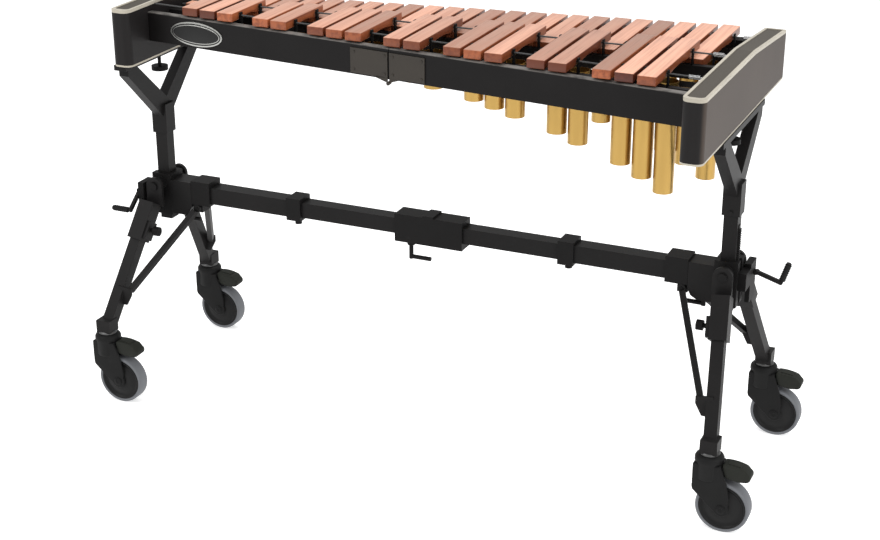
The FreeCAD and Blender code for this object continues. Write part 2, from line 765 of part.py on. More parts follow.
def brace():
    bx, _, bz = BRACE_TOP
    px, py, pz = BRACE_FOOT
    start = on_line(BRACE_TOP, BRACE_FOOT, 9.0)
    end = V(*BRACE_FOOT)
    shape = beam(start, end, BRACE, BRACE)
    top_eye = rod((bx, 18.0, bz), (bx, 25.0, bz), 9.0)
    low_eye = rod((px, py - 5.0, pz), (px, py + 4.0, pz), 7.0)
    shape = shape.fuse([top_eye, low_eye])
    shape = shape.cut(box(px - 30.0, px + 30.0, py + 4.0, py + 40.0, pz - 30.0, pz + 30.0))
    return shape.cut(rod((bx, 0, bz), (bx, 40.0, bz), 4.0 + RUN)).removeSplitter()


def braces():
    pair = [brace(), mirrored(brace())]
    keep("braces_right", pair)
    keep("braces_left", [turned(s) for s in pair])


# ---------------------------------------------------------------- casters
def caster_fork():
    half = WHEEL_WIDE / 2
    inner = half + 2.5
    outer = half + 6.5
    head = rod((0, 0, 120.0), (0, 0, 166.0), 28.0)
    race = rod((0, 0, 166.0), (0, 0, 170.5), 24.0)
    stem = rod((0, 0, 170.0), (0, 0, 193.0), STEM_R)
    ring = [(-26.0, 140.0), (26.0, 140.0), (TRAIL + 15.0, WHEEL_R + 10.0), (TRAIL + 8.0, WHEEL_R - 12.0),
            (TRAIL - 13.0, WHEEL_R - 12.0)]
    shape = head.fuse([race, stem])
    for y in (inner, -outer):
        cheek = prism([(a, y, b) for a, b in ring], (0, outer - inner, 0))
        disc = rod((TRAIL, y, WHEEL_R), (TRAIL, y + outer - inner, WHEEL_R), 17.0)
        shape = shape.fuse([cheek, disc])
    axle = rod((TRAIL, -outer - 2.0, WHEEL_R), (TRAIL, outer + 2.0, WHEEL_R), AXLE_R)
    lug = box(20.0, 36.0, -6.0, 6.0, 144.0, 158.0)
    pin = rod((31.0, -12.0, 151.0), (31.0, 12.0, 151.0), 2.5)
    return shape.fuse([axle, lug, pin]).removeSplitter()


def caster_wheel():
    half = WHEEL_WIDE / 2
    wheel = rod((TRAIL, -half, WHEEL_R), (TRAIL, half, WHEEL_R), WHEEL_R)
    wheel = wheel.makeFillet(3.0, wheel.Edges)
    hub_shape = rod((TRAIL, -half - 2.0, WHEEL_R), (TRAIL, half + 2.0, WHEEL_R), 14.0)
    bore = rod((TRAIL, -2 * half, WHEEL_R), (TRAIL, 2 * half, WHEEL_R), AXLE_R + RUN)
    return wheel.fuse(hub_shape).cut(bore).removeSplitter()


def brake_pedal():
    half = 17.0
    ring = [(29.0, 146.0), (29.0, 158.0), (40.0, 164.0), (62.0, 161.0), (88.0, 149.0), (88.0, 143.0),
            (60.0, 146.0)]
    shape = prism([(a, -half, b) for a, b in ring], (0, 2 * half, 0))
    shape = shape.cut(rod((0, 0, 100.0), (0, 0, 200.0), 28.6))
    shape = shape.cut(box(20.0, 38.0, -6.6, 6.6, 130.0, 170.0))
    return shape.cut(rod((31.0, -14.0, 151.0), (31.0, 14.0, 151.0), 2.5 + RUN)).removeSplitter()


def casters():
    x, y, _ = LEG_FOOT
    spots = (("front_right", x, -y), ("rear_right", x, y), ("front_left", -x, -y), ("rear_left", -x, y))
    fork_shape = caster_fork()
    wheel_shape = caster_wheel()
    pedal_shape = brake_pedal()
    for name, cx, cy in spots:
        keep("caster_fork_" + name, [moved(fork_shape, cx, cy)])
        keep("caster_wheel_" + name, [moved(wheel_shape, cx, cy)])
        keep("brake_pedal_" + name, [moved(pedal_shape, cx, cy)])


# ---------------------------------------------------------------- build
def main():
    os.makedirs("parts", exist_ok=True)
    steps = (natural_bars, sharp_bars, bar_rails, bar_posts, bar_cords, cord_springs, natural_resonators,
             sharp_resonators, resonator_rails, end_boards, front_rails, rear_rails, hinge_plates,
             lift_posts, lift_forks, board_knobs, stretcher_tubes, centre_coupling, stretcher_collars,
             end_brackets, handles, hubs, gearboxes, pinions, cranks, legs, brace_collars, braces, casters)
    for step in steps:
        step()
    bound = Part.makeCompound(list(made.values())).optimalBoundingBox()
    shift = V(-bound.Center.x, -bound.Center.y, 0)
    print("shift", shift, "box", bound)
    for name, shape in made.items():
        shape.translate(shift)
        shape.exportStep("parts/" + name + ".step")


main()
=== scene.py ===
import json
import math

import bpy
from mathutils import Matrix, Vector


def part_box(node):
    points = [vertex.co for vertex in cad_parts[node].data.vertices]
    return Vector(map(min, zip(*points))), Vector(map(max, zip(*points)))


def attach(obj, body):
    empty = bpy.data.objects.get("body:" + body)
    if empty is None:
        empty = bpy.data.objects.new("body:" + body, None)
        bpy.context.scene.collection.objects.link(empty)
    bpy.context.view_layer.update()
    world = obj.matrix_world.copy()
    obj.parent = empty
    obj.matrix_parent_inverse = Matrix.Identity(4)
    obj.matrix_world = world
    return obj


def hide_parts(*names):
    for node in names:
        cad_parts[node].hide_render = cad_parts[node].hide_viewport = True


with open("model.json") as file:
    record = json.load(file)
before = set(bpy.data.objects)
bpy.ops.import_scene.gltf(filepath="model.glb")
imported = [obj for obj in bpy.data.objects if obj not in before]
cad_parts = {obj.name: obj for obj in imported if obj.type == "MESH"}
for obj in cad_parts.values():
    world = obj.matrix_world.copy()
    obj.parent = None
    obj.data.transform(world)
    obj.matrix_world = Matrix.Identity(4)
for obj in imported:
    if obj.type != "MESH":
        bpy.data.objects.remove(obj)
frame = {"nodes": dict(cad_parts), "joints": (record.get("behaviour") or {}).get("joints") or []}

bl_info = {
    "name": "Concert Xylophone",
    "version": (1, 0, 0),
    "blender": (4, 5, 0),
    "location": "3D View > Sidebar > Xylophone",
    "description": "Bars, fittings, casters and finishes of a xylophone on a folding stand",
    "category": "Object",
}

MM = 0.001
X = Vector((1, 0, 0))
Y = Vector((0, 1, 0))
Z = Vector((0, 0, 1))


def middle(node):
    low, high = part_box(node)
    return (low + high) / 2


STAND = Vector(((middle("end_board_left").x + middle("end_board_right").x) / 2,
                middle("end_board_left").y, 0))


def from_stand(x, y, z):
    """A point given in millimetres from the middle of the stand, on the floor."""
    return STAND + Vector((x, y, z)) * MM


def named_joints():
    return {joint["name"]: joint for joint in frame["joints"]}


# ------------------------------------------------------------------ settings
class XylophoneSizes(bpy.types.PropertyGroup):
    bar_edge: bpy.props.FloatProperty(
        name="Bar edge", description="Rounding of the bars' edges", default=1.8 * MM, unit="LENGTH")
    bar_arch: bpy.props.FloatProperty(
        name="Bar arch", description="Height of the hollow under each bar", default=4 * MM, unit="LENGTH")
    tread_radius: bpy.props.FloatProperty(
        name="Tread radius", description="Radius of a caster wheel", default=56 * MM, unit="LENGTH")
    tread_width: bpy.props.FloatProperty(
        name="Tread width", description="Width of a caster wheel", default=32 * MM, unit="LENGTH")
    spring_wire: bpy.props.FloatProperty(
        name="Spring wire", description="Radius of the cord springs' wire", default=0.7 * MM, unit="LENGTH")
    badge_size: bpy.props.FloatVectorProperty(
        name="Badge size", description="Half width and half height of the oval badge", size=2,
        default=(70 * MM, 27 * MM), unit="LENGTH")


class XylophoneColours(bpy.types.PropertyGroup):
    bar_top: bpy.props.FloatVectorProperty(
        name="Bar top", description="Waxed face of the bars", subtype="COLOR", size=3,
        default=(0.64, 0.325, 0.215))
    # Sides and ends of the bars: the cut wood's darker tone with painted shade in it.
    bar_side_shaded: bpy.props.FloatVectorProperty(
        name="Bar side", description="Cut sides and ends of the bars", subtype="COLOR", size=3,
        default=(0.22, 0.045, 0.018))
    lacquer: bpy.props.FloatVectorProperty(
        name="Lacquer", description="Black lacquer of the rails", subtype="COLOR", size=3,
        default=(0.007, 0.0062, 0.0062))
    board_side: bpy.props.FloatVectorProperty(
        name="Board side", description="Outer faces of the end boards", subtype="COLOR", size=3,
        default=(0.050, 0.038, 0.031))
    board_top: bpy.props.FloatVectorProperty(
        name="Board top", description="Recessed top panels of the end boards", subtype="COLOR", size=3,
        default=(0.052, 0.044, 0.034))
    trim: bpy.props.FloatVectorProperty(
        name="Trim", description="Pale trim round the end boards", subtype="COLOR", size=3,
        default=(0.38, 0.35, 0.29))
    tubes: bpy.props.FloatVectorProperty(
        name="Resonators", description="Gold finish of the resonator tubes", subtype="COLOR", size=3,
        default=(0.46, 0.29, 0.085))
    frame_paint: bpy.props.FloatVectorProperty(
        name="Frame paint", description="Charcoal paint of the stand", subtype="COLOR", size=3,
        default=(0.010, 0.0095, 0.0095))
    tread: bpy.props.FloatVectorProperty(
        name="Tread", description="Grey tread of the caster wheels", subtype="COLOR", size=3,
        default=(0.14, 0.145, 0.155))


def sizes():
    return bpy.context.scene.xylophone_sizes


def colours():
    return bpy.context.scene.xylophone_colours


# ------------------------------------------------------------------ modelling
def deselect():
    for obj in list(bpy.context.selected_objects):
        obj.select_set(False)


def only(obj):
    deselect()
    obj.select_set(True)
    bpy.context.view_layer.objects.active = obj


def settle(obj):
    only(obj)
    bpy.ops.object.transform_apply(location=True, rotation=True, scale=True)
    return obj


def modify(obj, kind, **settings):
    only(obj)
    modifier = obj.modifiers.new(kind.title(), kind)
    for key, value in settings.items():
        setattr(modifier, key, value)
    bpy.ops.object.modifier_apply(modifier=modifier.name)
    return obj


def soften(obj, width, segments=3):
    modify(obj, "BEVEL", width=width, segments=segments, limit_method="ANGLE", angle_limit=math.radians(32),
           harden_normals=False)
    only(obj)
    bpy.ops.object.shade_smooth_by_angle(angle=math.radians(32))
    return obj


def joined(parts, name):
    deselect()
    for part in parts:
        part.select_set(True)
    bpy.context.view_layer.objects.active = parts[0]
    if len(parts) > 1:
        bpy.ops.object.join()
    obj = bpy.context.view_layer.objects.active
    obj.name = name
    obj.data.name = name
    return settle(obj)


def clean(obj):
    only(obj)
    bpy.ops.object.mode_set(mode="EDIT")
    bpy.ops.mesh.select_all(action="SELECT")
    bpy.ops.mesh.remove_doubles(threshold=0.00001)
    bpy.ops.mesh.normals_make_consistent(inside=False)
    bpy.ops.object.mode_set(mode="OBJECT")
    return obj


def outline(points, closed=True):
    """A thin wire of points in the XZ plane, ready to be turned round Z or pushed out."""
    mesh = bpy.data.meshes.new("outline")
    edges = [(i, i + 1) for i in range(len(points) - 1)]
    if closed:
        edges.append((len(points) - 1, 0))
    mesh.from_pydata([(a, 0, b) for a, b in points], edges, [])
    obj = bpy.data.objects.new("outline", mesh)
    bpy.context.collection.objects.link(obj)
    return obj


def turned_piece(points, origin, axis, steps=64, smooth=35):
    """A closed outline of (radius, height) turned round an axis through origin."""
    obj = outline(points)
    modify(obj, "SCREW", axis="Z", angle=math.tau, steps=steps, render_steps=steps, use_merge_vertices=True,
           merge_threshold=0.00001)
    obj.matrix_world = Matrix.Translation(origin) @ Vector(axis).to_track_quat("Z", "Y").to_matrix().to_4x4()
    settle(obj)
    clean(obj)
    bpy.ops.object.shade_smooth_by_angle(angle=math.radians(smooth))
    return obj


def wear(obj, *materials):
    obj.data.materials.clear()
    for material in materials:
        obj.data.materials.append(material)


# ------------------------------------------------------------------ shader words
class Number:
    """A value socket that takes part in Python sums, each one a Math node."""

    def __init__(self, work, socket):
        self.work = work
        self.socket = socket

    def _math(self, operation, first, second):
        node = self.work.node("ShaderNodeMath", {"operation": operation}, {0: first, 1: second})
        return Number(self.work, node.outputs[0])

    def __add__(self, other):
        return self._math("ADD", self, other)

    def __sub__(self, other):
        return self._math("SUBTRACT", self, other)

    def __mul__(self, other):
        return self._math("MULTIPLY", self, other)

    def __truediv__(self, other):
        return self._math("DIVIDE", self, other)

    def __rsub__(self, other):
        return self._math("SUBTRACT", other, self)

    __radd__ = __add__
    __rmul__ = __mul__

    def floor(self):
        return self._math("FLOOR", self, 0.0)

    def above(self, edge):
        return self._math("GREATER_THAN", self, edge)


class Finish:
    """One procedural material and the nodes it needs."""

    def __init__(self, name):
        self.material = bpy.data.materials.new(name)
        self.material.use_nodes = True
        self.tree = self.material.node_tree
        self.shader = self.tree.nodes["Principled BSDF"]
        self.place = self.node("ShaderNodeTexCoord").outputs["Object"]

    def node(self, kind, settings=None, values=None):
        made = self.tree.nodes.new(kind)
        for key, value in (settings or {}).items():
            setattr(made, key, value)
        for key, value in (values or {}).items():
            self.feed(made.inputs[key], value)
        return made

    def feed(self, socket, value):
        if isinstance(value, Number):
            self.tree.links.new(value.socket, socket)
        elif isinstance(value, bpy.types.NodeSocket):
            self.tree.links.new(value, socket)
        else:
            socket.default_value = value

    def axes(self, vector):
        split = self.node("ShaderNodeSeparateXYZ", None, {0: vector})
        return [Number(self, out) for out in split.outputs]

    def normal(self):
        return self.axes(self.node("ShaderNodeNewGeometry").outputs["Normal"])

    def stretched(self, scale):
        mapping = self.node("ShaderNodeMapping", None, {"Vector": self.place, "Scale": scale})
        return mapping.outputs[0]

    def noise(self, scale, detail=3.0, vector=None):
        node = self.node("ShaderNodeTexNoise", None,
                         {"Vector": vector or self.place, "Scale": scale, "Detail": detail})
        return Number(self, node.outputs["Fac"])

    def chance(self, value):
        node = self.node("ShaderNodeTexWhiteNoise", {"noise_dimensions": "1D"}, {"W": value})
        return Number(self, node.outputs["Value"])

    def ramp(self, value, low, high):
        node = self.node("ShaderNodeMapRange", {"interpolation_type": "SMOOTHSTEP"},
                         {"Value": value, "From Min": low, "From Max": high})
        return Number(self, node.outputs[0])

    def mix(self, share, first, second):
        node = self.node("ShaderNodeMix", {"data_type": "RGBA"}, {0: share})
        for index, colour in ((6, first), (7, second)):
            self.feed(node.inputs[index], colour if isinstance(colour, bpy.types.NodeSocket)
                      else (*colour[:3], 1.0))
        return node.outputs[2]

    def bump(self, height, depth, strength=0.6, radius=0.0):
        values = {"Height": height, "Distance": depth, "Strength": strength}
        if radius:
            round_edge = self.node("ShaderNodeBevel", {"samples": 4}, {"Radius": radius})
            values["Normal"] = round_edge.outputs[0]
        node = self.node("ShaderNodeBump", None, values)
        self.feed(self.shader.inputs["Normal"], node.outputs[0])

    def use(self, **values):
        for key, value in values.items():
            self.feed(self.shader.inputs[key.replace("_", " ")], value)
        return self.material


def shade(colour, factor):
    return tuple(min(1.0, c * factor) for c in colour[:3])


def painted(name, colour, rough, spread=0.08, grain=900.0, depth=0.02 * MM, edge=1.0 * MM, specular=0.08):
    """A satin paint: slow drift in tone, fine orange peel, rounded edges and paler scuffed patches."""
    f = Finish(name)
    drift = f.noise(9.0)
    peel = f.noise(grain, 2.0)
    tone = f.mix(drift, shade(colour, 0.8), shade(colour, 1.3))
    scuff = f.ramp(f.noise(60.0, 6.0), 0.62, 0.80) * 0.25
    base = f.mix(scuff, tone, tuple(c * 1.6 + 0.008 for c in colour[:3]))
    f.bump(peel, depth, radius=edge)
    f.shader.inputs["Specular IOR Level"].default_value = specular
    return f.use(Base_Color=base, Roughness=rough + (drift - 0.5) * spread)


def plated(name, colour, rough, stretch=(1, 1, 1), grain=300.0, edge=0.6 * MM):
    """A drawn or turned metal with fine lines."""
    f = Finish(name)
    lines = f.noise(grain, 3.0, f.stretched(stretch))
    drift = f.noise(7.0)
    base = f.mix(drift, shade(colour, 0.84), shade(colour, 1.12))
    f.bump(lines, 0.015 * MM, 0.5, edge)
    f.shader.inputs["Metallic"].default_value = 0.9
    return f.use(Base_Color=base, Roughness=rough + (lines - 0.5) * 0.2)


def bar_finish(name, first_x, pitch, shift):
    """Waxed rose-coloured wood: grain along each bar, a tone of its own for each bar, sides and ends darker
    than the tops, partly the cut wood's own tone and partly painted shade.
    """
    f = Finish(name)
    c = colours()
    x = f.axes(f.place)[0]
    up = f.normal()[2]
    count = ((first_x - x) / pitch + 0.5 + shift).floor()
    own = f.chance(count + 0.37)
    other = f.chance(count * 3.1 + 9.2)
    grain = f.noise(1.0, 5.0, f.stretched((420.0, 9.0, 420.0)))
    streak = f.noise(1.0, 3.0, f.stretched((120.0, 3.0, 120.0)))
    top = f.mix(own, shade(c.bar_top, 0.42), shade(c.bar_top, 1.2))
    top = f.mix(f.ramp(streak, 0.35, 0.75) * 0.45, top, (0.34, 0.12, 0.068))
    side = f.mix(other, shade(c.bar_side_shaded, 0.3), (0.36, 0.10, 0.036))
    side = f.mix(f.ramp(streak, 0.4, 0.7) * 0.6, side, shade(c.bar_side_shaded, 0.5))
    # Faces turned away from straight up take the side colour, which is painted shade on the bars' sides and
    # ends.
    top_and_shaded_side = f.mix(f.ramp(up, 0.35, 0.8), side, top)
    base = f.mix(f.ramp(grain, 0.52, 0.75) * 0.35, top_and_shaded_side, (0.09, 0.022, 0.012))
    f.bump(grain, 0.05 * MM, 0.5)
    f.shader.inputs["Coat Roughness"].default_value = 0.3
    f.shader.inputs["Specular IOR Level"].default_value = 0.3
    return f.use(Base_Color=base, Roughness=0.38 + (grain - 0.5) * 0.2, Coat_Weight=0.1 + own * 0.1)


def board_finish(name):
    """Dark textured lacquer: warm grey outer faces, olive-grey top panels, black elsewhere."""
    f = Finish(name)
    c = colours()
    nx, _, nz = f.normal()
    leather = f.noise(1400.0, 3.0)
    cloud = f.noise(6.0)
    outer = f.mix(cloud, shade(c.board_side, 0.82), shade(c.board_side, 1.2))
    top = f.mix(cloud, shade(c.board_top, 0.85), shade(c.board_top, 1.2))
    black = shade(c.lacquer, 1.4)
    away = f.axes(f.place)[0].above(0.0) * 2.0 - 1.0
    side_share = f.ramp(nx * away, 0.5, 0.95)
    base = f.mix(side_share, black, outer)
    base = f.mix(f.ramp(nz, 0.6, 0.95), base, top)
    f.bump(leather, 0.05 * MM, 0.6, 1.2 * MM)
    f.shader.inputs["Specular IOR Level"].default_value = 0.14
    return f.use(Base_Color=base, Roughness=0.5 + (leather - 0.5) * 0.2)


def rail_finish(name):
    """Black lacquered rail with a painted highlight along its top front edge."""
    f = Finish(name)
    c = colours()
    z = f.axes(f.place)[2]
    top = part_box("front_rails")[1].z
    drift = f.noise(12.0)
    base = f.mix(drift, shade(c.lacquer, 0.7), shade(c.lacquer, 1.3))
    # Painted highlight: the top 2.2 mm of the rail is mixed towards pale grey and broken up by noise.
    painted_highlight = f.ramp(z, top - 2.2 * MM, top - 0.4 * MM) * f.ramp(f.noise(30.0), 0.2, 0.6)
    base = f.mix(painted_highlight * 0.5, base, (0.30, 0.28, 0.26))
    f.bump(f.noise(700.0, 2.0), 0.02 * MM, 0.5, 2.0 * MM)
    f.shader.inputs["Specular IOR Level"].default_value = 0.12
    return f.use(Base_Color=base, Roughness=0.42 + (drift - 0.5) * 0.1)


def woven(name, colour):
    """Braided cord: one fine stretched noise gives its ribs."""
    f = Finish(name)
    rib = f.noise(1.0, 1.0, f.stretched((900.0, 1500.0, 1500.0)))
    base = f.mix(f.ramp(rib, 0.4, 0.6), shade(colour, 0.5), shade(colour, 1.8))
    f.bump(rib, 0.2 * MM, 0.8)
    return f.use(Base_Color=base, Roughness=0.85 + (rib - 0.5) * 0.1)


# ------------------------------------------------------------------ operators
class XYLOPHONE_OT_finishes(bpy.types.Operator):
    """Put a finish on every part of the stand and keyboard that keeps its own shape"""

    bl_idname = "xylophone.finishes"
    bl_label = "Finishes"

    def execute(self, context):
        c = colours()
        paint = painted("charcoal_paint", c.frame_paint, 0.42)
        # Painted light: the frame paint made 1.15 times lighter for the legs, braces and crank arms.
        lit_paint = painted("leg_paint_painted_light", shade(c.frame_paint, 1.15), 0.45)
        cast = painted("cast_black", shade(c.frame_paint, 0.8), 0.5, grain=500.0, depth=0.08 * MM)
        plastic = painted("black_plastic", shade(c.frame_paint, 0.6), 0.55, grain=1500.0)
        gold = plated("gold_satin", c.tubes, 0.34, (1.0, 1.0, 0.02), 500.0)
        trim = painted("pale_trim", c.trim, 0.35, depth=0.01 * MM)
        steel = plated("bright_steel", (0.55, 0.55, 0.55), 0.3)
        gear = plated("gear_steel", (0.35, 0.35, 0.34), 0.4)
        board = board_finish("board_lacquer")
        rail = rail_finish("rail_lacquer")
        inner = painted("inner_rails", shade(c.lacquer, 1.2), 0.5)
        cord = woven("braided_cord", (0.05, 0.05, 0.05))
        plates = painted("plate_black", (0.024, 0.019, 0.014), 0.38, edge=0.8 * MM, specular=0.3)
        table = {
            paint: ("stretcher_tubes", "end_brackets", "lift_forks", "lift_posts", "resonator_rails"),
            lit_paint: ("leg_sleeves_left", "leg_sleeves_right", "leg_tubes_left", "leg_tubes_right",
                        "braces_left", "braces_right", "crank_arm_left", "crank_arm_right"),
            cast: ("centre_coupling", "stretcher_collars", "hubs", "brace_collar_left", "brace_collar_right",
                   "crank_shaft_left", "crank_shaft_right", "centre_handle", "bracket_handle_left",
                   "bracket_handle_right"),
            plates: ("hinge_plates",),
            plastic: ("gearboxes", "board_knob_left", "board_knob_right", "bar_posts"),
            gold: ("natural_resonators", "sharp_resonators"),
            trim: ("board_trims",),
            steel: ("cord_springs",),
            gear: ("pinion_left", "pinion_right"),
            board: ("end_board_left", "end_board_right"),
            rail: ("front_rails",),
            inner: ("rear_rails", "bar_rails"),
            cord: ("bar_cords",),
        }
        for end in ("front", "rear"):
            for side in ("left", "right"):
                spot = end + "_" + side
                wear(frame["nodes"]["leg_knob_" + spot], plastic)
        for material, names in table.items():
            for name in names:
                wear(frame["nodes"][name], material)
        return {"FINISHED"}


PITCH = 46.8 * MM
FIRST_BAR = 570.0            # place of the lowest natural bar along the stand, in millimetres
BAR_WIDE = 38 * MM
NATURALS = 26
ARCH_START = 0.30            # the hollow under a bar, as shares of its length
ARCH_STEPS = (0.38, 0.46, 0.54, 0.62, 0.70)
ARCH_LONG = ARCH_STEPS[-1] - ARCH_START
SHARP_STEPS = (0.5, 1.5, 2.5, 4.5, 5.5, 7.5, 8.5, 9.5, 11.5, 12.5,
               14.5, 15.5, 16.5, 18.5, 19.5, 21.5, 22.5, 23.5)


def plain_bar(wide, thick, arch):
    """One bar a metre long, hollowed under its middle."""
    deselect()
    bpy.ops.mesh.primitive_cube_add(size=1, location=(0, 0.5, thick / 2), scale=(wide, 1, thick))
    obj = settle(bpy.context.active_object)
    bpy.ops.object.mode_set(mode="EDIT")
    for share in (ARCH_START, *ARCH_STEPS):
        bpy.ops.mesh.select_all(action="SELECT")
        bpy.ops.mesh.bisect(plane_co=(0, share, 0), plane_no=(0, 1, 0))
    bpy.ops.object.mode_set(mode="OBJECT")
    for vertex in obj.data.vertices:
        share = (vertex.co.y - ARCH_START) / ARCH_LONG
        if vertex.co.z < thick / 2 and 0 <= share <= 1:
            vertex.co.z += arch * 4 * share * (1 - share)
    return obj


def bar_row(node, steps, name, material):
    low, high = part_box(node)
    thick = high.z - low.z
    pattern = plain_bar(BAR_WIDE, thick, sizes().bar_arch)
    mesh = frame["nodes"][node].data
    spots = []
    for step in steps:
        x = from_stand(FIRST_BAR, 0, 0).x - PITCH * step
        ys = [v.co.y for v in mesh.vertices if abs(v.co.x - x) < BAR_WIDE / 2 + MM]
        spots.append((x, min(ys), max(ys)))
    bars = []
    for x, front, rear in spots:
        copy = bpy.data.objects.new("bar", pattern.data.copy())
        bpy.context.collection.objects.link(copy)
        for vertex in copy.data.vertices:
            vertex.co = Vector((x + vertex.co.x, front + vertex.co.y * (rear - front), low.z + vertex.co.z))
        bars.append(copy)
    bpy.data.objects.remove(pattern)
    row = joined(bars, name)
    soften(row, sizes().bar_edge)
    wear(row, material)
    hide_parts(node)
    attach(row, "keyboard")


class XYLOPHONE_OT_bars(bpy.types.Operator):
    """Shape the natural and sharp bars"""

    bl_idname = "xylophone.bars"
    bl_label = "Bars"

    def execute(self, context):
        first = from_stand(FIRST_BAR, 0, 0).x
        natural = bar_finish("natural_bar_wood", first, PITCH, 0.0)
        sharp = bar_finish("sharp_bar_wood", first, PITCH, 0.5)
        bar_row("natural_bars", range(NATURALS), "natural_bar_row", natural)
        bar_row("sharp_bars", SHARP_STEPS, "sharp_bar_row", sharp)
        return {"FINISHED"}


class XYLOPHONE_OT_wheels(bpy.types.Operator):
    """Turn the four caster wheels with their treads and dished faces"""

    bl_idname = "xylophone.wheels"
    bl_label = "Caster wheels"

    def execute(self, context):
        s = sizes()
        r = s.tread_radius
        h = s.tread_width / 2
        tread_finish = painted("wheel_tread", colours().tread, 0.55, grain=700.0, depth=0.05 * MM)
        face_finish = painted("wheel_face", (0.014, 0.014, 0.014), 0.36, edge=1.0 * MM)
        rim = r - 7 * MM
        shoulder = [(rim, h - 1.5 * MM), (rim + 3.5 * MM, h), (r - 2 * MM, h - 0.6 * MM),
                    (r - 0.5 * MM, h - 2 * MM), (r, h - 4.5 * MM)]
        tread = [(a, -b) for a, b in shoulder] + shoulder[::-1]
        dish = [(5.2 * MM, h + 2 * MM), (10 * MM, h + 2 * MM), (13 * MM, h + 1 * MM), (22 * MM, h + 0.4 * MM),
                (31 * MM, h - 1.5 * MM), (37 * MM, h - 4.5 * MM), (40 * MM, h - 5 * MM),
                (43 * MM, h - 3.5 * MM), (45 * MM, h - 1.2 * MM), (rim - 0.6 * MM, h - 1.0 * MM)]
        face = [(a, -b) for a, b in dish] + dish[::-1]
        for end in ("front", "rear"):
            for side in ("left", "right"):
                node = "caster_wheel_%s_%s" % (end, side)
                centre = middle(node)
                parts = []
                for points, finish in ((tread, tread_finish), (face, face_finish)):
                    part = turned_piece(points, centre, Y, 96, 40)
                    wear(part, finish)
                    parts.append(part)
                wheel = joined(parts, "wheel_%s_%s" % (end, side))
                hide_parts(node)
                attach(wheel, "wheel_%s_%s" % (end, side))
        return {"FINISHED"}


def plate_shape(points, thick, y, edge):
    """A flat closed outline in the XZ plane given a thickness about y, with rounded edges."""
    obj = outline(points)
    only(obj)
    bpy.ops.object.mode_set(mode="EDIT")
    bpy.ops.mesh.select_all(action="SELECT")
    bpy.ops.mesh.edge_face_add()
    bpy.ops.object.mode_set(mode="OBJECT")
    modify(obj, "SOLIDIFY", thickness=thick, offset=0.0)
    obj.location.y = y
    settle(obj)
    clean(obj)
    return soften(obj, edge, 4)


def arc(centre, radius, start, stop, count):
    """Points along an arc in the XZ plane, angles in degrees from +X towards +Z."""
    step = (stop - start) / (count - 1)
    turns = [math.radians(start + n * step) for n in range(count)]
    return [(centre[0] + radius * math.cos(t), centre[1] + radius * math.sin(t)) for t in turns]


def to_metres(points):
    return [(a * MM, b * MM) for a, b in points]


CHEEK_GAP = 4.6              # from the wheel's side to the middle of a cheek, in millimetres


